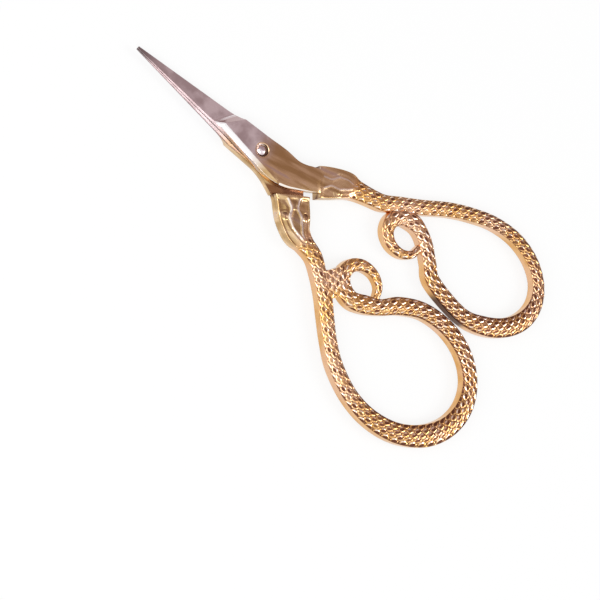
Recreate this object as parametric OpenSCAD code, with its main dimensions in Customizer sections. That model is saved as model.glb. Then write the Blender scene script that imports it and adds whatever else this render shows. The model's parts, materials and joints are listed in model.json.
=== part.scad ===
// Embroidery scissors with a pair of snake handles.
//
// Two steel blades turn on one rivet. Behind the pivot each blade carries a
// tang, and a handle shaped as a snake is cast round it: the mouth bites the
// blade, the body runs round as a finger bow, and the tail curls up beside the
// snake's own neck.
//
// Frame: millimetres. The origin is on the pivot axis, in the plane that the
// scissors lie on. +X runs from the pivot to the points and +Z is up. The front
// half is the one on top. The scissors are drawn shut.

/* [Blades] */
// Pivot axis to the points
blade_length = 33.8; // [28:0.1:50]
// Thickness of one blade at the pivot
blade_thickness = 1.75; // [1.5:0.05:2.5]
// Clearance between the two inner faces
blade_gap = 0.1; // [0.04:0.02:0.2]
// Pivot axis to the cutting edge's side of the front blade
front_edge_reach = 3.3; // [3:0.1:3.8]
// Pivot axis to the cutting edge's side of the back blade
back_edge_reach = 3.5; // [3.2:0.1:4]
// Pivot axis to the heel, where the cutting edge starts
heel_x = 6.5; // [5:0.5:8]
// Pivot line to the front blade's edge at its heel
front_heel_reach = 2.9; // [2.5:0.1:3.3]
// Pivot line to the back blade's edge at its heel
back_heel_reach = 3.4; // [3:0.1:3.6]
// Pivot axis to the spine's side of the blade
spine_reach = 3.3; // [3:0.1:3.5]
// Spine to the pivot line at the blade's waist
waist_reach = 2.1; // [1.7:0.05:2.4]
// Pivot axis to the blade's waist
waist_x = 10; // [8:0.5:12]
// Width of the blade at its point
point_width = 0.5; // [0.3:0.1:1]

/* [Grinding] */
// Thickness left along the cutting edge
edge_land = 0.15; // [0.1:0.05:0.5]
// Slope of the ground face, up from the cutting edge
grind_angle = 13; // [11:1:18]
// Pivot axis to the start of the full ground face, along the cutting edge
grind_start = 10.5; // [9:0.5:13]
// Radius that the ground face runs out on
grind_radius = 4; // [3:0.5:7]
// Slant of the line where the ground face runs out, from the cutting edge
grind_slant = 50; // [35:5:65]
// Slope of the bevel along the spine, down from the outer face
bevel_slope = 14; // [8:1:20]
// Pivot axis to the front end of that bevel's upper line
bevel_x = 8.5; // [7:0.5:10]
// Pivot line to the front end of that bevel's upper line
bevel_reach = 0.95; // [0.8:0.05:1.4]
// Turn of that upper line from the pivot line
bevel_turn = 9; // [7:1:11]

/* [Pivot rivet] */
// Diameter of the rivet's shank
rivet_d = 2.2; // [1.8:0.1:2.4]
// Radial running clearance of the rivet in the back blade
rivet_clearance = 0.05; // [0.02:0.01:0.1]
// Diameter of the dome formed at the front
dome_d = 2.4; // [2.3:0.1:2.7]
// Height of that dome
dome_height = 0.6; // [0.4:0.05:0.8]
// Diameter of the recess round the dome
recess_d = 2.8; // [2.7:0.1:3.6]
// Depth of that recess
recess_depth = 0.5; // [0.3:0.05:0.8]
// Width of the chamfer round the recess
recess_chamfer = 0.15; // [0.1:0.05:0.3]
// Diameter of the countersunk head at the back
sunk_head_d = 4; // [3.4:0.1:4.6]
// Depth of that countersunk head
sunk_head_depth = 0.9; // [0.6:0.1:1.1]

/* [Tangs] */
// Length of the tang inside the snake's head
tang_length = 6; // [4:0.5:7]
// Width of the tang
tang_width = 2.4; // [1.6:0.1:2.8]
// Thickness of the tang
tang_thickness = 1; // [0.6:0.1:1.2]
// Step from the blade's inner face down to the tang
tang_step = 0.35; // [0.2:0.05:0.5]

/* [Back handle, for the fingers] */
// Length of the bow, measured along the middle of the body
back_bow_length = 33.6; // [30:0.2:40]
// Width of the bow, measured along the middle of the body
back_bow_width = 27.6; // [24:0.2:32]
// Length of the loop in the tail, along the middle of the body
back_curl_length = 9.6; // [9:0.2:10.6]
// Width of the loop in the tail, along the middle of the body
back_curl_width = 8.2; // [8:0.2:8.8]

/* [Front handle, for the thumb] */
// Length of the bow, measured along the middle of the body
front_bow_length = 30.7; // [28:0.1:34]
// Width of the bow, measured along the middle of the body
front_bow_width = 23.2; // [20:0.2:24]
// Length of the loop in the tail, along the middle of the body
front_curl_length = 9.2; // [8.8:0.2:10]
// Width of the loop in the tail, along the middle of the body
front_curl_width = 7.8; // [7.6:0.2:8.4]

/* [Snake body] */
// Width of the front snake's head
front_head_width = 6.7; // [6:0.1:7]
// Width of the back snake's head at its mouth
back_head_width = 7.9; // [7.5:0.1:8.2]
// Width of the body at the neck
neck_width = 3.4; // [2.9:0.1:3.7]
// Width of the body at its thickest, in the bow
bow_end_width = 4.7; // [4:0.1:5]
// Width of the body where it turns into the tail
tail_width = 3.6; // [3.2:0.1:3.8]
// Width of the tail where its loop starts
curl_width = 3.9; // [3.4:0.1:4]
// Width of the tail at its tip
tail_tip_width = 1.5; // [1.3:0.1:2]
// Height of the tail at its tip
tail_tip_height = 2.2; // [1.8:0.1:3]

/* [Hidden] */
$fn = 64;

gold = [0.85, 0.62, 0.42];
steel = [0.72, 0.70, 0.71];
body_height = 2 * blade_thickness + blade_gap;
inner_z = blade_thickness + blade_gap;
rivet_bore_d = rivet_d + 2 * rivet_clearance;
reach = 100;

// ---- Curves -------------------------------------------------------------

// One point of a Catmull-Rom curve that passes through b and c.
function between(a, b, c, d, t) =
    0.5 * (2 * b + (c - a) * t + (2 * a - 5 * b + 4 * c - d) * t * t
    + (3 * b - a - 3 * c + d) * t * t * t);

// A smooth curve through all the points of a list, with `steps` to a span.
function smooth(p, steps) =
    let (last = len(p) - 1)
    concat(
        [for (i = [0 : last - 1], k = [0 : steps - 1])
            between(p[max(i - 1, 0)], p[i], p[i + 1], p[min(i + 2, last)], k / steps)],
        [p[last]]);

// A point of an ellipse that is turned by `tilt`.
function on_ellipse(centre, length, width, tilt, a) =
    centre + [
        length / 2 * cos(a) * cos(tilt) - width / 2 * sin(a) * sin(tilt),
        length / 2 * cos(a) * sin(tilt) + width / 2 * sin(a) * cos(tilt)];

// ---- Blades -------------------------------------------------------------
// Both blades are drawn as the front one, so each is seen from its outer face.
// They differ in their cutting edge's side and in where they enter the snake's
// mouth: root = [spine's side, edge's side].

front_root = [[-16.0, -1.2], [-13.2, -5.5]];
back_root = [[-14.0, -1.4], [-7.6, -5.6]];

// The edge's side from the heel past the pivot and out to the mouth.
front_side = [
    [heel_x, -front_heel_reach],
    [heel_x / 2, -(front_heel_reach + front_edge_reach) / 2],
    [0, -front_edge_reach],
    [-2.5, -front_edge_reach - 0.25],
    [-5, -front_edge_reach - 0.4],
    [-8, -front_edge_reach - 0.3],
    [-10, -front_edge_reach - 0.8],
    [-11.5, -front_edge_reach - 1.5],
    front_root[1]];
back_side = [
    [heel_x, -back_heel_reach],
    [heel_x / 2, -(back_heel_reach + back_edge_reach) / 2],
    [0, -back_edge_reach],
    [-2, -back_edge_reach - 0.15],
    [-4, -back_edge_reach - 0.6],
    [-5.8, -back_edge_reach - 1.3],
    back_root[1]];

// The straight cutting edge, from the heel to the point.
function edge_y(x, heel_reach) =
    let (tip_y = -0.7 * point_width)
    -heel_reach + (tip_y + heel_reach) * (x - heel_x) / (blade_length - heel_x);

function blade_outline(side, root) = concat(
    [[blade_length, -0.7 * point_width]],
    [for (p = smooth(side, 4)) p],
    [for (p = smooth([
        root[0],
        [-12, spine_reach - 2],
        [-10, spine_reach - 0.8],
        [-8, spine_reach],
        [-6, spine_reach + 0.45],
        [-4, spine_reach + 0.5],
        [-2, spine_reach + 0.35],
        [0, spine_reach],
        [waist_x / 2, (spine_reach + waist_reach) / 2],
        [waist_x, waist_reach]], 4)) p],
    [[blade_length, 0.3 * point_width]]);

// The ground face and the round that it runs out on, cut from above.
module grinding(heel_reach) {
    edge_slope = atan2(edge_y(1, heel_reach) - edge_y(0, heel_reach), 1);
    translate([grind_start, edge_y(grind_start, heel_reach), inner_z + edge_land])
        rotate([0, 0, edge_slope])
        rotate([grind_angle, 0, 0])
        rotate([0, 0, grind_slant - 90])
        union() {
            translate([0, -reach / 2, 0])
                cube([reach, reach, 2 * grind_radius]);
            translate([0, 0, grind_radius])
                rotate([90, 0, 0])
                cylinder(r = grind_radius, h = reach, center = true);
        }
}

// The flat bevel along the spine, from the ground face to behind the pivot.
module spine_bevel() {
    translate([bevel_x, bevel_reach, body_height])
        rotate([0, 0, -bevel_turn])
        rotate([-bevel_slope, 0, 0])
        translate([-reach / 2, 0, 0])
        cube([reach, reach, reach]);
}

// The tang, from one millimetre inside the blade to deep in the snake's head.
module tang(root) {
    across = root[0] - root[1];
    translate([(root[0].x + root[1].x) / 2, (root[0].y + root[1].y) / 2, inner_z + tang_step])
        rotate([0, 0, atan2(across.y, across.x)])
        translate([-tang_width / 2, -1, 0])
        cube([tang_width, tang_length + 1, tang_thickness]);
}

module blade(side, root) {
    difference() {
        translate([0, 0, inner_z])
            linear_extrude(blade_thickness)
            polygon(blade_outline(side, root));
        grinding(-side[0].y);
        spine_bevel();
    }
    tang(root);
}

// Puts a shape that is drawn as part of the front half into the back half.
module turned_over() {
    translate([0, 0, body_height])
        rotate([180, 0, 0])
        children();
}

module front_blade() {
    color(steel)
        difference() {
            blade(front_side, front_root);
            translate([0, 0, inner_z - 1])
                cylinder(d = rivet_d, h = blade_thickness + 2);
            translate([0, 0, body_height - recess_depth])
                cylinder(d = recess_d, h = recess_depth + 1);
            translate([0, 0, body_height - recess_chamfer])
                cylinder(d1 = recess_d, d2 = recess_d + 4 * recess_chamfer, h = 2 * recess_chamfer);
        }
}

module back_blade() {
    color(steel)
        difference() {
            turned_over() blade(back_side, back_root);
            translate([0, 0, -1])
                cylinder(d = rivet_bore_d, h = blade_thickness + 2);
            sunk_cone(2 * rivet_clearance);
        }
}

// ---- Pivot rivet --------------------------------------------------------

module sunk_cone(extra) {
    growth = (sunk_head_d - rivet_d) / sunk_head_depth;
    translate([0, 0, -1])
        cylinder(
            d1 = sunk_head_d + growth + extra,
            d2 = rivet_d,
            h = sunk_head_depth + 1 + extra / growth);
}

module pivot_rivet() {
    dome_r = (pow(dome_d / 2, 2) + pow(dome_height, 2)) / (2 * dome_height);
    dome_z = body_height - recess_depth;
    color(steel) {
        cylinder(d = rivet_d, h = dome_z + 0.1);
        intersection() {
            sunk_cone(0);
            cylinder(d = sunk_head_d, h = body_height / 2);
        }
        intersection() {
            translate([0, 0, dome_z + dome_height - dome_r])
                sphere(r = dome_r, $fn = 96);
            translate([0, 0, dome_z])
                cylinder(d = dome_d + 1, h = dome_height + 1);
        }
    }
}

// ---- Snake handles ------------------------------------------------------
// A route lists stations along the middle of the snake, from just in front of
// its mouth to the tip of its tail. Each is [x, y, width, height].

full = body_height;
curl_spans = 7;
back_swell = [
    [0, neck_width + 0.7],
    [0.25, bow_end_width + 0.3],
    [0.4, bow_end_width],
    [0.65, tail_width + 0.2],
    [1, tail_width + 0.2]];
front_swell = [
    [0, neck_width - 0.3],
    [0.4, neck_width - 0.3],
    [0.65, bow_end_width - 0.4],
    [0.85, bow_end_width - 0.2],
    [1, tail_width]];

// An arc of an ellipse. `swell` is the body's width along it, by share of the arc.
function bow(centre, length, width, tilt, from, to, swell, steps) =
    [for (k = [0 : steps])
        let (p = on_ellipse(centre, length, width, tilt, from + (to - from) * k / steps))
        [p.x, p.y, lookup(k / steps, swell), full]];

// An arc of an ellipse on which the tail thins out to its tip.
function curl(centre, length, width, from, to) =
    [for (k = [0 : curl_spans])
        let (
            p = on_ellipse(centre, length, width, 0, from + (to - from) * k / curl_spans),
            rest = pow(1 - pow(k / curl_spans, 1.6), 1.5))
        [p.x, p.y,
            tail_tip_width + (curl_width - tail_tip_width) * rest,
            tail_tip_height + (full - tail_tip_height) * sqrt(rest)]];

back_route = concat(
    [
        [-10.6, 2.2, back_head_width + 1.5, full],
        [-11.7, 3.7, back_head_width, full],
        [-14.2, 6.6, back_head_width - 0.5, full],
        [-16.8, 8.85, 0.74 * back_head_width, full],
        [-19.75, 9.75, neck_width + 0.8, full],
        [-23.0, 10.7, neck_width + 0.3, full],
        [-26.1, 13.1, neck_width, full],
        [-29.4, 16.0, neck_width + 0.2, full],
        [-32.5, 19.5, neck_width + 0.1, full],
        [-36.0, 23.3, neck_width, full],
        [-40.3, 26.95, neck_width + 0.2, full],
        [-46.65, 30.0, neck_width + 0.3, full]
    ],
    bow([-55.05, 17.1], back_bow_length, back_bow_width, 12, 74.7, 272, back_swell, 8),
    [
        [-45.85, 6.5, tail_width + 0.4, full],
        [-42.2, 9.6, tail_width, full],
        [-38.8, 11.45, tail_width + 0.5, full]
    ],
    curl([-35.4, 8.6], back_curl_length, back_curl_width, 90, -185));

front_route = concat(
    [
        [-13.45, -2.1, front_head_width, full],
        [-14.8, -3.3, front_head_width + 0.3, full],
        [-17.5, -5.2, front_head_width, full],
        [-20.5, -7.0, 0.87 * front_head_width, full],
        [-23.6, -7.9, neck_width + 1, full],
        [-27.0, -8.8, neck_width + 0.4, full],
        [-30.1, -9.8, neck_width + 0.3, full],
        [-33.5, -12.1, neck_width, full],
        [-38.2, -15.0, neck_width, full],
        [-44.4, -19.2, neck_width - 0.1, full],
        [-50.1, -22.1, neck_width - 0.2, full]
    ],
    bow([-59.45, -13.1], front_bow_length, front_bow_width, 10, -84, -277, front_swell, 8),
    [
        [-50.0, -3.0, tail_width + 0.1, full],
        [-46.8, -5.8, tail_width - 0.2, full],
        [-43.8, -8.7, tail_width - 0.2, full],
        [-41.0, -10.4, tail_width - 0.2, full]
    ],
    curl([-38.3, -7.0], front_curl_length, front_curl_width, -90, 185));

// The web of metal that joins the back snake's neck to the loop in its tail. The
// front snake's loop needs none, because it grows straight into the neck.
back_web = [
    [-27.8, 14.7, 7.0, full - 0.3],
    [-29.6, 12.7, 6.0, full - 0.3],
    [-31.5, 10.6, 6.6, full - 0.3]];

// The outline across the snake, with its flats at 1 on every side.
section_sides = 16;
section_squareness = 4;
steps_per_span = 3;
function rounded(v) = sign(v) * pow(abs(v), 2 / section_squareness);
section = [for (k = [0 : section_sides - 1])
    let (a = 360 * (k + 0.5) / section_sides)
    [rounded(cos(a)), rounded(sin(a))] / rounded(cos(180 / section_sides))];

function ring(p, i) =
    let (
        a = p[max(i - 1, 0)],
        b = p[min(i + 1, len(p) - 1)],
        along = [b.x - a.x, b.y - a.y] / norm([b.x - a.x, b.y - a.y]))
    [for (s = section) [
        p[i].x - along.y * s.x * p[i][2] / 2,
        p[i].y + along.x * s.x * p[i][2] / 2,
        body_height / 2 + s.y * p[i][3] / 2]];

// Two more stations past the end of a route, which round off the tip.
function with_round_tip(p) =
    let (
        last = p[len(p) - 1],
        before = p[len(p) - 2],
        run = [last.x - before.x, last.y - before.y],
        along = run / norm(run) * last[2] / 2)
    concat(p, [for (s = [[0.55, 0.8], [0.9, 0.4]])
        [last.x + along.x * s[0], last.y + along.y * s[0], last[2] * s[1], last[3] * s[1]]]);

// A closed skin over the rings of some of the stations.
module skin(p, from, to) {
    n = section_sides;
    last = to - from;
    polyhedron(
        points = [for (i = [from : to], q = ring(p, i)) q],
        faces = concat(
            [for (i = [0 : last - 1], k = [0 : n - 1])
                [i * n + k, (i + 1) * n + (k + 1) % n, i * n + (k + 1) % n]],
            [for (i = [0 : last - 1], k = [0 : n - 1])
                [i * n + k, (i + 1) * n + k, (i + 1) * n + (k + 1) % n]],
            [[for (k = [0 : n - 1]) k]],
            [[for (k = [n - 1 : -1 : 0]) last * n + k]]));
}

// The body up to the loop in the tail, and the loop, which grows into the body
// where it lies against the neck and where its tip comes back to it.
module snake(route) {
    p = with_round_tip(smooth(route, steps_per_span));
    loop_start = (len(route) - 1 - curl_spans) * steps_per_span;
    skin(p, 0, loop_start);
    skin(p, loop_start, len(p) - 1);
}

// Everything in front of the snake's mouth, on the blade's side of its root.
module before_mouth(root) {
    across = root[0] - root[1];
    translate([root[1].x, root[1].y, -1])
        rotate([0, 0, atan2(across.y, across.x)])
        translate([-5, -8, 0])
        cube([norm(across) + 10, 8, body_height + 2]);
}

// A handle is as high as the two blades together, wherever its body lies.
module front_handle() {
    color(gold)
        resize([0, 0, body_height])
        difference() {
            snake(front_route);
            before_mouth(front_root);
            tang(front_root);
        }
}

module back_handle() {
    color(gold)
        resize([0, 0, body_height])
        difference() {
            union() {
                snake(back_route);
                skin(smooth(back_web, 2), 0, 4);
            }
            turned_over() {
                before_mouth(back_root);
                tang(back_root);
            }
        }
}

front_blade();
back_blade();
front_handle();
back_handle();
pivot_rivet();
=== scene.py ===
import json
import math

import bmesh
import bpy
import numpy as np
from mathutils import Matrix, Vector

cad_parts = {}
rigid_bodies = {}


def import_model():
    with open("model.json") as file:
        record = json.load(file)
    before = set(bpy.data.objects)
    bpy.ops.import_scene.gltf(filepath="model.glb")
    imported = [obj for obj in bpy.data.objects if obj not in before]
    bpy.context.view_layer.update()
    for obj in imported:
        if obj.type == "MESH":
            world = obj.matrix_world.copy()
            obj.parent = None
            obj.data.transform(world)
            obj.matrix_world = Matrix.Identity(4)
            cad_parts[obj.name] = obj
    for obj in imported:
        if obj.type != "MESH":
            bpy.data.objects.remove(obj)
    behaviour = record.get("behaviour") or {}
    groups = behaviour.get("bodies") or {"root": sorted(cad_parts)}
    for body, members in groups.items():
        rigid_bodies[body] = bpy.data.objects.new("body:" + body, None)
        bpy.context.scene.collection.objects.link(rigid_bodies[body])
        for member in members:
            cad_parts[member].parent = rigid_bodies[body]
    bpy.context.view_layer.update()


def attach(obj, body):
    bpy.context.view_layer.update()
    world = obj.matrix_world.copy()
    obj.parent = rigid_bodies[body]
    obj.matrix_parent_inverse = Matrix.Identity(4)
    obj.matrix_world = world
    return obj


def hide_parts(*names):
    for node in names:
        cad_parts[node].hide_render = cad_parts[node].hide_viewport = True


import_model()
MM = 0.001

# ---- The view ---------------------------------------------------------------
# The photograph looks down on the scissors from the side of the larger bow, a
# little from the side of the points and from about 390 mm away. The camera was
# fitted to known lengths in it.

camera_data = bpy.data.cameras.new("camera")
camera_data.lens = 110.33
camera_data.sensor_width = 36.0
camera_data.clip_start = 0.01
camera_data.clip_end = 10.0
camera = bpy.data.objects.new("camera", camera_data)
bpy.context.collection.objects.link(camera)
eye = Vector((107.17, 157.31, 340.24)) * MM
right = Vector((-0.72403, -0.49189, 0.48355))
up = Vector((0.59924, -0.79575, 0.08777))
back = Vector((0.34161, 0.35331, 0.87091))
camera.matrix_world = Matrix.Translation(eye) @ Matrix((right, up, back)).transposed().to_4x4()
bpy.context.scene.camera = camera
bpy.context.scene.view_settings.view_transform = "Standard"

# ---- Table and light --------------------------------------------------------
# A white table under a white tent, with three soft lamps. Three brown cards hang
# over the far side, so that flat metal has something to mirror.

TABLE_DROP = 0.02   # mm between the table and the scissors
TABLE_GLOW = 0.82   # share of plain white in what the camera sees of the table
TENT_LIGHT = 0.55   # light of the tent on the scissors, where 1 is white


class Flow:
    """A shader socket that takes part in sums, so that masks read as formulas."""

    def __init__(self, tree, socket=None):
        self.tree = tree
        self.socket = socket

    def node(self, kind, settings=None, sockets=None, out=0):
        """Any node, from its type, its settings and the values of its sockets."""
        made = self.tree.nodes.new(kind)
        for key, value in (settings or {}).items():
            setattr(made, key, value)
        for key, value in (sockets or {}).items():
            if isinstance(value, Flow):
                self.tree.links.new(value.socket, made.inputs[key])
            else:
                made.inputs[key].default_value = value
        return Flow(self.tree, made.outputs[out] if made.outputs else None)

    def maths(self, operation, *values):
        return self.node("ShaderNodeMath", {"operation": operation}, dict(enumerate(values)))

    def __add__(self, other):
        return self.maths("ADD", self, other)

    def __sub__(self, other):
        return self.maths("SUBTRACT", self, other)

    def __rsub__(self, other):
        return self.maths("SUBTRACT", other, self)

    def __mul__(self, other):
        return self.maths("MULTIPLY", self, other)

    def __pow__(self, other):
        return self.maths("POWER", self, other)

    __radd__ = __add__
    __rmul__ = __mul__

    def ramp(self, low, high):
        """0 where the value is at low, 1 where it is at high, smooth between."""
        return self.node("ShaderNodeMapRange", {"interpolation_type": "SMOOTHSTEP", "clamp": True},
                         {"Value": self, "From Min": low, "From Max": high})

    def inside(self, low, full, fading, high):
        """0 below low, 1 from full to fading, and 0 again above high."""
        return self.ramp(low, full) * self.ramp(high, fading)

    def between(self, first, second):
        """The first colour where the mask is 0, the second where it is 1."""
        return self.node("ShaderNodeMix", {"data_type": "RGBA"}, {0: self, 6: first, 7: second}, out=2)

    def under(self, *layers):
        """This colour with others laid over it, each as a mask and a colour."""
        colour = self
        for mask, tone in layers:
            colour = mask.between(colour, tone)
        return colour

    def noise(self, scale, detail=2.0):
        """Even noise over the vector that this socket carries."""
        return self.node("ShaderNodeTexNoise", None, {"Vector": self, "Scale": scale, "Detail": detail})


def new_material(name):
    material = bpy.data.materials.new(name)
    material.use_nodes = True
    material.node_tree.nodes.clear()
    return material, Flow(material.node_tree)


def seen_directly(start):
    """1 for what the camera sees itself, in metal or through glass."""
    rays = [start.node("ShaderNodeLightPath", out=name)
            for name in ("Is Camera Ray", "Is Glossy Ray", "Is Transmission Ray")]
    return start.node("ShaderNodeMath", {"operation": "ADD", "use_clamp": True},
                      {0: rays[0] + rays[1], 1: rays[2]})


def flat_sheet(name, place, width, depth):
    """A sheet of the studio, its width and depth in metres."""
    bm = bmesh.new()
    bmesh.ops.create_grid(bm, x_segments=1, y_segments=1, size=0.5)
    bmesh.ops.transform(bm, matrix=place @ Matrix.Diagonal((width, depth, 1, 1)), verts=bm.verts)
    mesh = bpy.data.meshes.new(name)
    bm.to_mesh(mesh)
    bm.free()
    sheet = bpy.data.objects.new(name, mesh)
    bpy.context.collection.objects.link(sheet)
    return sheet


table = flat_sheet("table", Matrix.Translation((0, 0, -TABLE_DROP * MM)), 4.0, 4.0)
table_white, start = new_material("table_white")
matt = start.node("ShaderNodeBsdfDiffuse", None, {"Color": (0.86, 0.86, 0.86, 1)})
glow = start.node("ShaderNodeEmission", None, {"Color": (1, 1, 1, 1), "Strength": 1.0})
shown = start.node("ShaderNodeMixShader", None, {0: seen_directly(start) * TABLE_GLOW, 1: matt, 2: glow})
start.node("ShaderNodeOutputMaterial", None, {"Surface": shown})
table.data.materials.append(table_white)

world = bpy.data.worlds.new("tent")
bpy.context.scene.world = world
world.use_nodes = True
world.node_tree.nodes.clear()
start = Flow(world.node_tree)
tent = start.node("ShaderNodeBackground", None, {
    "Color": (1, 1, 1, 1), "Strength": seen_directly(start) * (1 - TENT_LIGHT) + TENT_LIGHT})
start.node("ShaderNodeOutputWorld", None, {"Surface": tent})

# each card's direction from the rivet, its distance, width and depth in metres
for card_name, aim, distance, width, depth, tone in (
        ("card_above", (-0.12, -0.72, 0.69), 0.60, 0.95, 0.80, (0.45, 0.345, 0.35, 1)),
        ("card_beside", (0.80, -0.42, 0.44), 0.65, 0.70, 0.50, (0.50, 0.41, 0.42, 1)),
        ("card_behind", (-0.68, -0.62, 0.26), 0.75, 1.20, 0.36, (0.30, 0.21, 0.15, 1))):
    toward = Vector(aim).normalized()
    place = toward.to_track_quat("Z", "Y").to_matrix().to_4x4()
    place.translation = toward * distance
    card = flat_sheet(card_name, place, width, depth)
    card.visible_camera = False
    card.visible_diffuse = False
    card.visible_shadow = False
    card_brown, start = new_material(card_name + "_brown")
    shade = start.node("ShaderNodeEmission", None, {"Color": tone, "Strength": 1.0})
    start.node("ShaderNodeOutputMaterial", None, {"Surface": shade})
    card.data.materials.append(card_brown)

# each lamp's place and size in metres and its power in watts; all face the rivet
for lamp_name, spot, size, power in (
        ("lamp_over", (0.02, 0.46, 0.60), 0.30, 1.0),
        ("lamp_left", (0.45, 0.35, 0.45), 0.5, 2.6),
        ("lamp_right", (-0.55, -0.2, 0.5), 0.35, 2.0)):
    lamp_data = bpy.data.lights.new(lamp_name, "AREA")
    lamp_data.size = size
    lamp_data.energy = power
    lamp = bpy.data.objects.new(lamp_name, lamp_data)
    lamp.location = spot
    lamp.rotation_euler = (-Vector(spot)).to_track_quat("-Z", "Y").to_euler()
    bpy.context.collection.objects.link(lamp)

# ---- Blades -----------------------------------------------------------------
# Each blade is one forging of stainless steel, ground towards its edge, with a
# bevel along the spine. The gilding of the handle runs forward over the flat
# behind the pivot, the ricasso, and fades out beside the rivet.

FULL = 3.6                # thickness of both blades together, and of a handle
EDGE_WIDTH = 0.05         # what polishing takes off a sharp edge
POLISHED_UP_TO = 12       # x from which the ground edges are left keen
BLADE_STEEPEST = 28       # degrees from which an edge of a blade is polished off
METAL_SHARP = 22          # degrees from which an edge still shows as one
SAME_POINT = 0.002        # mm within which corners of a solid are one
SAME_PLANE = 1.5          # degrees within which its facets are one face
RICASSO_BEVEL = 0.4
RICASSO_SQUARE = 50       # degrees from which its edge takes that bevel
RICASSO = (-15.9, -7)     # x of its two ends
RICASSO_INNER = -1.3      # how far past the middle line its bevelled side begins
GRIND_RUN_OUT = (4, 18)   # x between which the hollow of the grind ends
GILT_FADE = 7             # length over which the gilding fades out
STROKE_ANGLE = -13        # degrees, of the polisher's strokes on flat gilding

# the ends of the line along which each snake's mouth closes on its blade
FRONT_BITE = ((-16.0, -1.2), (-13.2, -5.5))
BACK_BITE = ((-14.0, 1.4), (-7.6, 5.6))


def toward_blade(bite):
    """The unit vector across a bite, from the snake's head to the rivet's side."""
    start, end = np.array(bite)
    along = (end - start) / np.linalg.norm(end - start)
    across = np.array([-along[1], along[0]])
    return across if across @ start < 0 else -across


def merged_solid(node_name):
    """The solid of a node, its loose triangles merged into flat faces."""
    source = next(o for o in bpy.data.objects if o.type == "MESH" and o.name == node_name)
    bm = bmesh.new()
    bm.from_mesh(source.data)
    bm.transform(source.matrix_world)
    bmesh.ops.remove_doubles(bm, verts=bm.verts, dist=SAME_POINT * MM)
    bmesh.ops.dissolve_limit(bm, angle_limit=math.radians(SAME_PLANE), verts=bm.verts, edges=bm.edges)
    return bm


def take_off(bm, edges, width, segments, clamp):
    bmesh.ops.bevel(bm, geom=edges, offset=width * MM, offset_type="OFFSET", affect="EDGES",
                    segments=segments, profile=0.5, material=-1, clamp_overlap=clamp)


def bevel_ricasso(bm, spine_side):
    """The wide bevel along the side of the ricasso that lies away from the edge."""
    def on_its_rim(vert):
        x, y, z = vert.co / MM
        on_a_face = abs(abs(z - FULL / 2) - FULL / 2) < 0.01
        return on_a_face and RICASSO[0] < x < RICASSO[1] and y * spine_side > RICASSO_INNER
    rim = [e for e in bm.edges if all(on_its_rim(v) for v in e.verts)
           and e.calc_face_angle(0) > math.radians(RICASSO_SQUARE)]
    take_off(bm, rim, RICASSO_BEVEL, 1, False)


def polish(bm, steepest):
    """Takes the sharpness off every edge steeper than an angle, save where a
    blade is ground, and leaves the mesh in triangles."""
    hard = [e for e in bm.edges if len(e.link_faces) == 2
            and max(v.co.x for v in e.verts) < POLISHED_UP_TO * MM
            and e.calc_face_angle(0) > math.radians(steepest)]
    take_off(bm, hard, EDGE_WIDTH, 2, True)
    bmesh.ops.triangulate(bm, faces=bm.faces)
    bm.normal_update()


def mark_finishes(bm, spine_side):
    """Marks the faces of a blade that take painted light, by their slope: walls
    and the run-out of the grind take painted shade, the spine's bevel and the
    ricasso's bevel painted highlights."""
    marks = {name: bm.faces.layers.float.new(name) for name in ("wall", "spine", "run_out", "painted_highlight")}
    for face in bm.faces:
        x, upright = face.calc_center_median().x / MM, abs(face.normal.z)
        to_spine = face.normal.y * spine_side
        face[marks["wall"]] = float(upright < 0.5)
        face[marks["spine"]] = float(0.9 < upright < 0.99 and to_spine > 0.15)
        if 0.4 < upright < 0.99 and GRIND_RUN_OUT[0] < x < GRIND_RUN_OUT[1]:
            face[marks["run_out"]] = min(1.0, max(0.0, (face.normal.x - 0.2) / 0.2))
        face[marks["painted_highlight"]] = float(0.3 < upright < 0.9 and x < -2 and to_spine > 0)


def finished_piece(bm, name, sharp):
    """The piece of a mesh, smooth but for edges sharper than an angle."""
    mesh = bpy.data.meshes.new(name)
    bm.to_mesh(mesh)
    bm.free()
    mesh.shade_smooth()
    mesh.set_sharp_from_angle(angle=math.radians(sharp))
    piece = bpy.data.objects.new(name, mesh)
    bpy.context.collection.objects.link(piece)
    return piece


def on_piece(start):
    """The place on a piece: as a vector for noise, and its x, y and z in mm."""
    spot = start.node("ShaderNodeTexCoord", out="Object")
    return spot, *(start.node("ShaderNodeSeparateXYZ", None, {0: spot}, out=axis) * (1 / MM)
                   for axis in "XYZ")


def metal_skin(start, colour, metallic, roughness, relief, strength, depth):
    """Metal with fine relief, whose depth is in mm."""
    bump = start.node("ShaderNodeBump", None, {
        "Strength": strength, "Distance": depth * MM, "Height": relief})
    skin = start.node("ShaderNodeBsdfPrincipled", None, {
        "Base Color": colour, "Metallic": metallic, "Roughness": roughness, "Normal": bump})
    start.node("ShaderNodeOutputMaterial", None, {"Surface": skin})


def smooth_gilding(start, spot):
    """The colour of gilding on flat metal: rubbed thin in streaks, violet in places."""
    turned = start.node("ShaderNodeMapping", None, {
        "Vector": spot, "Rotation": (0, 0, math.radians(STROKE_ANGLE))})
    streaks = start.node("ShaderNodeMapping", None, {
        "Vector": turned, "Scale": (90.0, 620.0, 300.0)}).noise(1.0, 3.0)
    gold = streaks.ramp(0.38, 0.66).between((0.54, 0.34, 0.15, 1), (0.84, 0.60, 0.35, 1))
    return gold.under((streaks.ramp(0.60, 0.70) * 0.45, (0.55, 0.42, 0.45, 1)))


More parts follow.
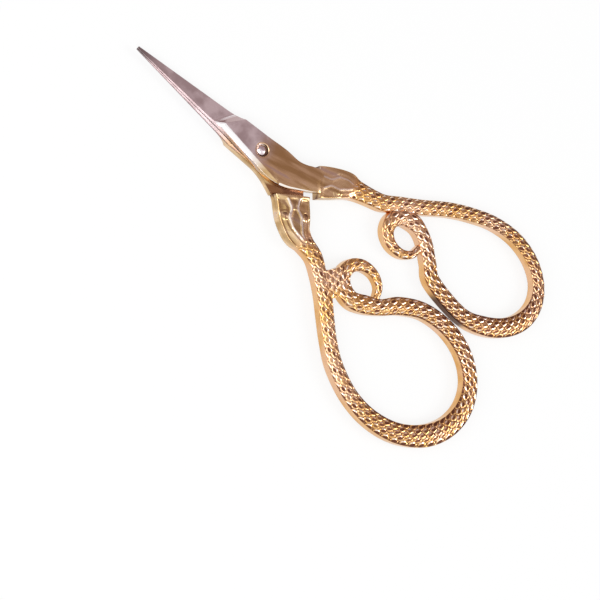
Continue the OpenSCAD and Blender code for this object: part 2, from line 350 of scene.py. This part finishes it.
def blade_steel(name, bite, gilt_from):
    """Steel, gilt behind the pivot, with painted shade where the mouth closes on it, between the blades,
    in the rivet's recess, on its walls and the grind's run-out, painted highlights on its bevels and a
    painted dark reflection towards the point.
    """
    material, start = new_material(name)
    spot, x, y, z = on_piece(start)
    cloud = spot.noise(230.0, 3.0)
    pits = spot.noise(2100.0)
    strokes = start.node("ShaderNodeMapping", None, {
        "Vector": spot, "Scale": (70.0, 2600.0, 900.0)}).noise(1.0)
    wall, spine, run_out, painted_highlight = (start.node("ShaderNodeAttribute", {"attribute_name": mark}, out="Fac")
                                  for mark in ("wall", "spine", "run_out", "painted_highlight"))

    steel = cloud.ramp(0.35, 0.65).between((0.66, 0.58, 0.59, 1), (1.0, 0.95, 0.97, 1)).under(
        # painted highlight: the spine's bevel near white
        (spine, (0.98, 0.96, 0.97, 1)),
        # painted reflection: the spine's bevel darker towards the point
        (spine * x.ramp(7, 18), (0.50, 0.38, 0.41, 1)),
        # painted shade: the run-out of the grind darker than the flat
        (run_out, (0.50, 0.37, 0.37, 1)),
        # painted shade: the blade's walls darker than its flats
        (wall, (0.50, 0.41, 0.41, 1)),
        # painted dark reflection towards the point
        (x.ramp(28, 33) * 0.7, (0.22, 0.20, 0.20, 1)))
    gilt = (x + cloud * 5).ramp(gilt_from, gilt_from - GILT_FADE)

    ahead = toward_blade(bite)
    from_bite = (x - bite[0][0]) * float(ahead[0]) + (y - bite[0][1]) * float(ahead[1])
    # painted shadow: dark where the mouth closes on the blade, in the gap beside the head
    bite_shadow = from_bite.ramp(2.8, 1.8) * z.inside(1.2, 1.6, 1.9, 2.2)
    radius = (x * x + y * y) ** 0.5
    rivet_rim = radius.inside(1.36, 1.42, 1.70, 1.80)
    rivet_shade = radius.inside(1.1, 1.2, 1.40, 1.47) * x.ramp(0.7, -0.4)
    # painted shadow: a dark line where the two blades meet
    blade_gap_shadow = z.inside(1.62, 1.70, 1.90, 1.98) * wall * x.ramp(22, 12)
    colour = gilt.between(steel, smooth_gilding(start, spot)).under(
        (bite_shadow * 0.92, (0.17, 0.055, 0.018, 1)),
        (rivet_rim * 0.8, (0.70, 0.46, 0.26, 1)),
        # painted highlight: the ricasso's bevel near white
        (painted_highlight * 0.95, (1.0, 0.93, 0.87, 1)),
        (blade_gap_shadow * 0.85, (0.10, 0.06, 0.05, 1)),
        (rivet_shade * 0.9, (0.12, 0.05, 0.03, 1)))
    metal_skin(start, colour, 1.0 - bite_shadow * 0.2, strokes * 0.05 + cloud * 0.10 + 0.07,
               strokes + pits.ramp(0.66, 0.8) * -0.8, strength=0.14, depth=0.02)
    return material


for node_name, body, piece_name, spine_side, bite, gilt_from in (
        ("front_blade", "front_half", "front_blade_ground", 1, FRONT_BITE, 5.5),
        ("back_blade", "back_half", "back_blade_ground", -1, BACK_BITE, 14)):
    bm = merged_solid(node_name)
    bevel_ricasso(bm, spine_side)
    polish(bm, BLADE_STEEPEST)
    mark_finishes(bm, spine_side)
    blade = finished_piece(bm, piece_name, METAL_SHARP)
    blade.data.materials.append(blade_steel(piece_name + "_steel", bite, gilt_from))
    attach(blade, body)
    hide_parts(node_name)

# ---- Pivot rivet ------------------------------------------------------------
# One steel rivet. Its front end is peened to a low polished dome in a round
# recess, and its back end is sunk flush.

RIVET_STEEPEST = 35  # degrees from which an edge of the rivet is polished off

bm = merged_solid("pivot_rivet")
polish(bm, RIVET_STEEPEST)
rivet = finished_piece(bm, "pivot_rivet_peened", METAL_SHARP)
rivet_polish, start = new_material("rivet_polish")
dents = start.node("ShaderNodeTexCoord", out="Object").noise(900.0)
polished = dents.ramp(0.4, 0.7).between((0.66, 0.57, 0.60, 1), (0.80, 0.72, 0.76, 1))
metal_skin(start, polished, 1.0, dents * 0.12 + 0.16, dents, strength=0.25, depth=0.04)
rivet.data.materials.append(rivet_polish)
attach(rivet, "front_half")
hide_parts("pivot_rivet")

# ---- Snake handles ----------------------------------------------------------
# Each handle is a snake cast in brass round the blade's tang and plated with
# rose gold: smooth walls, rows of scales on both faces, a flat head that bites
# the blade, and a tail that curls up beside the neck.

SCALE_LENGTH = 2.15
SCALE_ROW = 0.97         # between two rows of scales, across the body
SCALE_DEPTH = 0.22       # of the crevices between scales
PAD_DEPTH = 0.06         # of the dark middle of a scale
SCALED_WIDTH = 3.2       # below this width of body the scales get shallower
BODY_DOME = 0.40         # how far a face falls to its sides, over half the height
HEAD_DOME = 0.17
WEB_DOME = 0.12
WEB_SCALE_DEPTH = 0.25
MOUTH_DEPTH = 0.16
MOUTH_END = (3.6, 4.8)   # distances from the bite over which the mouth line fades
BITE_REACH = 9.5         # from a bite's start to past the far corner of the mouth
TAIL_WIDTH = 3.9         # where the tail begins to curl
TIP_WIDTH = 1.5
TIP_HEIGHT = 2.2
BODY_STEPS = 24          # of the curve between two stations
WEB_STEPS = 20
RING_SPACING = 0.152     # of the mesh along the body
CAST_SHARP = 70          # degrees from which an edge of a casting shows as one
FRONT_NECK = (-22.3, -7.6)
BACK_NECK = (-18.9, 9.5)
FRONT_CARVING = 0.35     # how much of its carving each head has kept
BACK_CARVING = 1.0


def through(points, steps):
    """The same curve through the stations as the solids have, in finer steps."""
    points = np.array(points, float)
    last = len(points) - 1
    curve = []
    for i in range(last):
        a, b = points[max(i - 1, 0)], points[i]
        c, d = points[i + 1], points[min(i + 2, last)]
        for k in range(steps):
            t = k / steps
            curve.append(0.5 * (2 * b + (c - a) * t + (2 * a - 5 * b + 4 * c - d) * t * t
                                + (3 * b - a - 3 * c + d) * t ** 3))
    curve.append(points[last])
    return np.array(curve)


def on_ellipse(centre, length, width, tilt, angle):
    a, t = math.radians(angle), math.radians(tilt)
    x, y = length / 2 * math.cos(a), width / 2 * math.sin(a)
    return (centre[0] + x * math.cos(t) - y * math.sin(t),
            centre[1] + x * math.sin(t) + y * math.cos(t))


def bow(centre, length, width, tilt, start, end, swell):
    """The stations of a finger bow. Its swell pairs shares of the way with widths."""
    shares, widths = zip(*swell)
    return [[*on_ellipse(centre, length, width, tilt, start + (end - start) * k / 8),
             float(np.interp(k / 8, shares, widths)), FULL] for k in range(9)]


def curl(centre, length, width, start, end):
    """The stations of a tail, which gets thinner and flatter towards its tip."""
    stations = []
    for k in range(8):
        rest = (1 - (k / 7) ** 1.6) ** 1.5
        stations.append([*on_ellipse(centre, length, width, 0, start + (end - start) * k / 7),
                         TIP_WIDTH + (TAIL_WIDTH - TIP_WIDTH) * rest,
                         TIP_HEIGHT + (FULL - TIP_HEIGHT) * math.sqrt(rest)])
    return stations


# stations along the middle of a body, each with x, y, width and height: from the
# head over the neck into the bow, and back up to the tail
back_stations = [
    [-10.6, 2.2, 9.4, FULL], [-11.7, 3.7, 7.9, FULL], [-14.2, 6.6, 7.4, FULL],
    [-16.8, 8.85, 5.85, FULL], [-19.75, 9.75, 4.2, FULL], [-23.0, 10.7, 3.7, FULL],
    [-26.1, 13.1, 3.4, FULL], [-29.4, 16.0, 3.6, FULL], [-32.5, 19.5, 3.5, FULL],
    [-36.0, 23.3, 3.4, FULL], [-40.3, 26.95, 3.6, FULL], [-46.65, 30.0, 3.7, FULL],
    *bow((-55.05, 17.1), 33.6, 27.6, 12, 74.7, 272,
         [(0, 4.1), (0.25, 5.0), (0.4, 4.7), (0.65, 3.8), (1, 3.8)]),
    [-45.85, 6.5, 4.0, FULL], [-42.2, 9.6, 3.6, FULL], [-38.8, 11.45, 4.1, FULL],
    *curl((-35.4, 8.6), 9.6, 8.2, 90, -185)]
front_stations = [
    [-13.45, -2.1, 6.7, FULL], [-14.8, -3.3, 7.0, FULL], [-17.5, -5.2, 6.7, FULL],
    [-20.5, -7.0, 5.83, FULL], [-23.6, -7.9, 4.4, FULL], [-27.0, -8.8, 3.8, FULL],
    [-30.1, -9.8, 3.7, FULL], [-33.5, -12.1, 3.4, FULL], [-38.2, -15.0, 3.4, FULL],
    [-44.4, -19.2, 3.3, FULL], [-50.1, -22.1, 3.2, FULL],
    *bow((-59.45, -13.1), 30.7, 23.2, 10, -84, -277,
         [(0, 3.1), (0.4, 3.1), (0.65, 4.3), (0.85, 4.5), (1, 3.6)]),
    [-50.0, -3.0, 3.7, FULL], [-46.8, -5.8, 3.4, FULL], [-43.8, -8.7, 3.4, FULL],
    [-41.0, -10.4, 3.4, FULL],
    *curl((-38.3, -7.0), 9.2, 7.8, -90, 185)]
back_web = [[-27.8, 14.7, 7.0, 3.3], [-29.6, 12.7, 6.0, 3.3], [-31.5, 10.6, 6.6, 3.3]]


def eased(value, low, high):
    """0 up to low, 1 from high, smooth between."""
    t = np.clip((value - low) / (high - low), 0, 1)
    return t * t * (3 - 2 * t)


def hump(value, width):
    """1 where the value is 0, dying away on both sides over a width."""
    return np.exp(-(value / width) ** 2)


def scale_pads(s, across):
    """Lozenge scales in staggered rows: their height, 0 in a crevice and 1 on a
    rim, and a mark for painted light that is 1 in the middle of each, for a painted dark reflection, and
    -1 on its flanks, for a painted highlight."""
    u, v = s / SCALE_LENGTH, across / SCALE_ROW
    nearest = np.full(u.shape, 9.0)
    second = np.full(u.shape, 9.0)
    along, over, kept = np.zeros((3, *u.shape))
    for j in (-1, 0, 1, 2):
        row = np.floor(v) + j
        shift = 0.5 * (row % 2)
        for i in (0, 1):
            middle = np.floor(u - shift) + shift + i
            away = (1.6 * np.abs(u - middle)) ** 2 + np.abs(v - row) ** 1.2
            here = away < nearest
            along = np.where(here, (u - middle) * SCALE_LENGTH, along)
            over = np.where(here, (v - row) * SCALE_ROW, over)
            kept = np.where(here, 0.8 + 0.2 * np.sin(13 * row + 47 * middle), kept)
            second = np.minimum(second, np.maximum(nearest, away))
            nearest = np.minimum(nearest, away)
    margin = second - nearest
    # the dark middles lie 14 degrees askew, 1.4 mm long and 0.7 mm wide
    along, over = along * 0.97 + over * 0.24, over * 0.97 - along * 0.24
    pad = (1 - eased(np.hypot(along / 0.70, over / 0.36), 0.7, 1.15)) * kept
    painted_highlight = (1 - eased(np.abs(along) / 0.8, 0.6, 1)) * (1 - eased(np.abs(over - 0.48) / 0.22, 0.5, 1))
    return 1 - (1 - np.clip(margin / 0.65, 0, 1)) ** 2, pad - painted_highlight


def head_relief(p, q):
    """The carving on a head in millimetres, p from the bite and q across it, and a
    mark for painted light on it: above 0 for a painted dark reflection on the sunk
    plate, painted shade beside the ridges and a dark eye, below 0 for a painted
    highlight along the ridges. A ridge runs back on each side of a sunk plate, and
    outside it lie a cheek and an eye."""
    side = np.abs(q)
    ridge = np.interp(p, [0, 2.6, 3.2, 4.8, 6.8, 8.8], [0.38, 0.15, 0.18, 0.36, 0.30, 0.05])
    plate = 1 - eased(side, ridge - 0.12, ridge - 0.02)
    cheek = eased(side, ridge + 0.05, ridge + 0.22)
    brow = hump(side - ridge - 0.34, 0.1) * eased(p, 1.5, 3.0)
    height = -0.13 * plate - 0.26 * cheek + 0.15 * brow
    painted_shading = 0.75 * plate + 0.55 * hump(side - ridge - 0.18, 0.06)
    seam = hump(p - 2.9, 0.16) * plate
    height = height + 0.09 * seam
    painted_shading = painted_shading * (1 - 0.8 * seam)
    from_eye = np.hypot(p - 4.3, (side - 0.66) * 3.4)
    eyeball, lid = np.clip(1 - (from_eye / 0.62) ** 2, 0, 1), hump(from_eye - 0.85, 0.16)
    height = np.where(from_eye < 1.05, np.maximum(height, -0.2) + 0.24 * eyeball + 0.1 * lid, height)
    painted_shading = np.where(from_eye < 0.68, 0.8, painted_shading * (1 - 0.8 * lid))
    lip = 1 - eased(p, 0.35, 1.0)
    painted_shading = np.clip(painted_shading, 0, 1) - hump(side - ridge - 0.06, 0.11)
    return height * (1 - lip), painted_shading * (1 - lip)


def section(per_face, per_wall):
    """Once round the body. x runs across, `dome` is 0 on the crown and 1 at the
    foot of the dome, `wall` runs from 1 down to -1 on a side wall."""
    sweep = math.radians(62)
    theta = np.linspace(-sweep, sweep, per_face, endpoint=False)
    across = np.sin(theta) / math.sin(sweep)
    dome = (1 - np.cos(theta)) / (1 - math.cos(sweep))
    down = np.linspace(1, -1, per_wall, endpoint=False)
    ones = np.ones(per_wall)
    return (np.r_[across, ones, -across, -ones], np.r_[dome, ones, dome, ones],
            np.r_[np.ones(per_face), down, -np.ones(per_face), -down])


def softened(rings):
    """Each ring with its corners rounded, by two passes between neighbours."""
    for _ in range(2):
        rings = (np.roll(rings, 1, 1) + 2 * rings + np.roll(rings, -1, 1)) / 4
    return rings


def length_along(line):
    return np.r_[0, np.cumsum(np.hypot(*np.diff(line[:, :2], axis=0).T))]


def sideways(line):
    """The unit vectors across a line, as columns of x and y."""
    tangent = np.gradient(line[:, :2], axis=0)
    tangent /= np.linalg.norm(tangent, axis=1)[:, None]
    return -tangent[:, 1:2], tangent[:, 0:1]


def body_line(stations):
    """The middle of a body in even steps with a round end, and the way along it."""
    dense = through(stations, BODY_STEPS)
    tip = dense[-1] - dense[-2]
    tip_run = tip[:2] / np.linalg.norm(tip[:2])
    cap = [[*(dense[-1][:2] + tip_run * dense[-1][2] / 2 * math.sin(a)),
            dense[-1][2] * math.cos(a), dense[-1][3] * math.cos(a)]
           for a in np.linspace(0, math.pi / 2, 9)[1:-1]]
    dense = np.vstack([dense, cap])
    run = length_along(dense)
    s = np.linspace(0, run[-1], int(run[-1] / RING_SPACING))
    return np.array([np.interp(s, run, dense[:, c]) for c in range(4)]).T, s


def wrap_grid(bm, X, Y, Z, shade_and_sheen):
    """A grid whose rows are bent round the body, sewn where they meet."""
    layer = bm.verts.layers.float.get("shade_and_sheen") or bm.verts.layers.float.new("shade_and_sheen")
    rings, around = X.shape
    made = bmesh.ops.create_grid(bm, x_segments=around, y_segments=rings - 1, size=1.0)["verts"]
    order = sorted(made, key=lambda v: (round(v.co.y, 6), round(v.co.x, 6)))
    for index, vert in enumerate(order):
        i, k = divmod(index, around + 1)
        k = k % around
        vert.co = Vector((X[i, k], Y[i, k], Z[i, k])) * MM
        vert[layer] = float(shade_and_sheen[i, k])
    bmesh.ops.remove_doubles(bm, verts=made, dist=0.0005 * MM)


def skin_body(bm, stations, bite, neck, carving):
    """The snake from its head to its tail, with carving up to the neck and scales
    behind it. Relief is pushed in along the normals of the plain section."""
    line, s = body_line(stations)
    across_x, across_y = sideways(line)
    half, tall = line[:, 2:3] / 2, line[:, 3:4] / 2
    neck_s = s[np.argmin(np.hypot(line[:, 0] - neck[0], line[:, 1] - neck[1]))]
    on_body = eased(s, neck_s - 1.2, neck_s + 0.8)[:, None]

    x, dome, wall = section(30, 18)
    fall = HEAD_DOME * carving + (BODY_DOME - HEAD_DOME * carving) * on_body
    z = softened(wall * (1 - fall * dome))
    x = softened(np.repeat(x[None, :], len(s), axis=0))
    along_x, along_z = ((np.roll(a, -1, 1) - np.roll(a, 1, 1)) * b for a, b in ((x, half), (z, tall)))
    nx, nz = -along_z, along_x
    size = np.hypot(nx, nz)
    nx, nz = nx / size, nz / size
    into_head = -toward_blade(bite)
    from_bite = ((line[:, 0:1] + across_x * x * half - bite[0][0]) * into_head[0]
                 + (line[:, 1:2] + across_y * x * half - bite[0][1]) * into_head[1])

    facing = eased(np.abs(nz), 0.3, 0.6) * (1 - 0.7 * eased(np.abs(x), 0.86, 1.0))
    height, mark = scale_pads(np.repeat(s[:, None], x.shape[1], axis=1), x * half)
    scaled = (SCALE_DEPTH * np.minimum(1, half / (SCALED_WIDTH / 2)) * (height - 1)
              - PAD_DEPTH * np.maximum(mark, 0))
    carved, carved_shading = head_relief(from_bite, x)
    mouth = ((1 - facing) * hump(z * tall, 0.14) * (1 - eased(from_bite, *MOUTH_END))
             * (1 - on_body))
    drop = facing * (on_body * scaled + (1 - on_body) * carving * carved) - MOUTH_DEPTH * mouth

    flank = eased(np.abs(x), 0.72, 0.98) * (np.abs(wall) == 1)
    jaw_end = (1 - facing) * (1 - on_body) * (1 - eased(from_bite, 0.1, 0.8))
    # Painted light, kept in a vertex attribute: a painted dark reflection in the middle of each scale
    # and on the head's sunk plate, painted highlights (below 0) on scale flanks and head ridges, painted
    # shade along the sides of the faces and at the jaw's end by the blade. It is also darker in the
    # crevices between scales and along the mouth line.
    painted_shading = (facing * (on_body * (1.1 * (1 - height) ** 1.3 + 0.95 * mark)
                      + (1 - on_body) * (0.4 + 0.6 * carving) * carved_shading)
            + 0.8 * mouth + 0.5 * flank * on_body + 0.7 * jaw_end)
    wrap_grid(bm, line[:, 0:1] + across_x * (x * half + nx * drop),
              line[:, 1:2] + across_y * (x * half + nx * drop),
              FULL / 2 + z * tall + nz * drop, np.clip(painted_shading, -1, 1))


def cut_at_bite(bm, bite):
    """Ends the head on the line of its bite. The tail is out of the cut's reach."""
    plane_co = Vector((*bite[0], 0)) * MM
    plane_no = Vector((*-toward_blade(bite), 0))
    bmesh.ops.bisect_plane(bm, geom=bm.verts[:] + bm.edges[:] + bm.faces[:], dist=1e-8,
                           plane_co=plane_co, plane_no=plane_no, clear_inner=False)
    ahead = [f for f in bm.faces if (f.calc_center_median() - plane_co).dot(plane_no) < 0
             and (f.calc_center_median() - plane_co).length < BITE_REACH * MM]
    bmesh.ops.delete(bm, geom=ahead, context="FACES")


def skin_web(bm, web):
    """The scaled web between the neck and the tail's loop, from side to side."""
    plate = through(web, WEB_STEPS)
    across_x, across_y = sideways(plate)
    across, dome, wall = section(56, 12)
    z = wall * (1 - WEB_DOME * dome)
    reach = across[None, :] * plate[:, 2:3] / 2
    height, mark = scale_pads(reach * 1.15 + 0.4, length_along(plate)[:, None] + 0.4)
    face = (np.abs(wall) == 1)[None, :] * np.ones(reach.shape)
    # painted dark reflections in the middles of the web's scales, painted highlights on their flanks
    wrap_grid(bm, plate[:, 0:1] + across_x * reach, plate[:, 1:2] + across_y * reach,
              FULL / 2 + z[None, :] * (plate[:, 3:4] / 2 - WEB_SCALE_DEPTH * (1 - height) * face),
              0.9 * mark * face)


def snake_gilding(name, neck_x):
    """Rose gold over brass: painted highlights on the rims of scales and ridges, painted dark
    reflections and shade, darker crevices, and a painted shadow where the bows meet.
    Towards the mouth it has the colour of the flat metal in front of it."""
    material, start = new_material(name)
    spot, x, y, z = on_piece(start)
    shade_and_sheen = start.node("ShaderNodeAttribute", {"attribute_name": "shade_and_sheen"}, out="Fac")
    cloud = spot.noise(300.0, 4.0)
    patches = spot.noise(110.0, 2.0)
    grain = spot.noise(2600.0)
    plating = cloud.ramp(0.34, 0.66).between((0.73, 0.39, 0.13, 1), (0.83, 0.50, 0.23, 1)).under(
        (patches.ramp(0.46, 0.64) * 0.7, (0.84, 0.53, 0.35, 1)),
        (x.ramp(neck_x - 0.5, neck_x + 2.5), smooth_gilding(start, spot)))
    # painted shadow: dark on the walls where the two bows nearly touch
    bows_contact_shadow = (x.inside(-62.5, -60.5, -53, -50) * y.inside(-1.8, -1.2, 1.7, 2.3)
                 * z.inside(0.5, 0.9, 2.7, 3.1))
    # painted shade and dark reflections from the vertex marks, darker crevices, all stronger towards the
    # bows
    painted_shading = (shade_and_sheen * (x.ramp(-36, -58) * 0.4 + 0.85) + cloud * 0.5 - 0.25).ramp(0.25, 0.85)
    colour = plating.under(
        (painted_shading, (0.12, 0.036, 0.018, 1)),
        (bows_contact_shadow * 0.95, (0.06, 0.015, 0.004, 1)),
        # painted highlights, near white, on scale flanks and head ridges
        (shade_and_sheen.ramp(-0.15, -0.7) * 0.9, (1.0, 0.90, 0.80, 1)))
    metal_skin(start, colour, 1.0 - painted_shading * 0.3, painted_shading * 0.22 + cloud * 0.08 + 0.13,
               grain, strength=0.2, depth=0.03)
    return material


for node_name, body, piece_name, stations, web, bite, neck, carving in (
        ("front_handle", "front_half", "front_snake", front_stations, None,
         FRONT_BITE, FRONT_NECK, FRONT_CARVING),
        ("back_handle", "back_half", "back_snake", back_stations, back_web,
         BACK_BITE, BACK_NECK, BACK_CARVING)):
    bm = bmesh.new()
    skin_body(bm, stations, bite, neck, carving)
    cut_at_bite(bm, bite)
    if web:
        skin_web(bm, web)
    bmesh.ops.holes_fill(bm, edges=[e for e in bm.edges if e.is_boundary], sides=0)
    bmesh.ops.recalc_face_normals(bm, faces=bm.faces)
    handle = finished_piece(bm, piece_name, CAST_SHARP)
    handle.data.materials.append(snake_gilding(piece_name + "_gilding", neck[0]))
    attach(handle, body)
    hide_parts(node_name)
